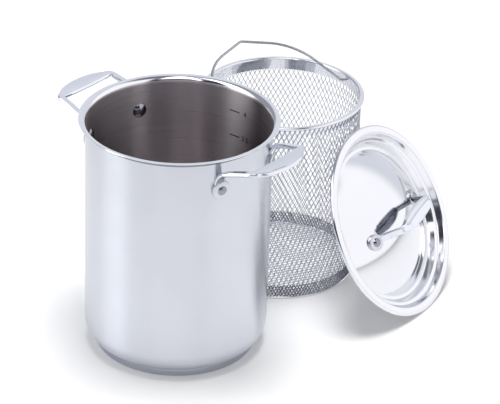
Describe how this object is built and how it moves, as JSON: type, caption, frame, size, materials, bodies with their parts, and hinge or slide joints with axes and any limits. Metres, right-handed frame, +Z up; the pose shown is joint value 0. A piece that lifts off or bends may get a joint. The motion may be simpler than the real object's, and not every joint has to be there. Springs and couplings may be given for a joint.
{
  "type": "asparagus pot",
  "caption": "Tall polished steel pot with cast loop handles, a stepped lid and a lift-out mesh basket with a wire bail, for steaming or boiling asparagus upright.",
  "frame": {"origin": "centre of the pot's underside, where its base disc rests on the table", "axes": "+Z up along the pot's axis, X through the two side handles, the basket and the leaning lid on the +Y side"},
  "size_m": [0.2671, 0.3587, 0.217],
  "materials": {
    "polished_steel": "mirror-polished stainless steel",
    "base_steel": "satin stainless steel",
    "cast_steel": "polished cast stainless steel",
    "rivet_steel": "mirror-polished stainless steel",
    "mesh_steel": "bright woven steel wire",
    "wire_steel": "satin stainless steel"
  },
  "bodies": {
    "pot": {"pot_body": "polished_steel", "base_disc": "base_steel", "left_handle": "cast_steel", "right_handle": "cast_steel", "handle_rivets": "rivet_steel", "lid": "polished_steel", "lid_handle": "cast_steel", "lid_rivets": "rivet_steel", "basket_rim_band": "polished_steel", "basket_wall": "mesh_steel", "basket_floor": "mesh_steel", "basket_bottom_hoop": "wire_steel"},
    "bail": {"bail": "wire_steel"}
  },
  "joints": [
    {"name": "bail_swing", "type": "hinge", "parent": "pot", "child": "bail", "pos_m": [-0.01714, 0.16591, 0.171], "axis": [0.2924, 0.9563, 0], "range_deg": [-11.5, 148.5]}
  ]
}
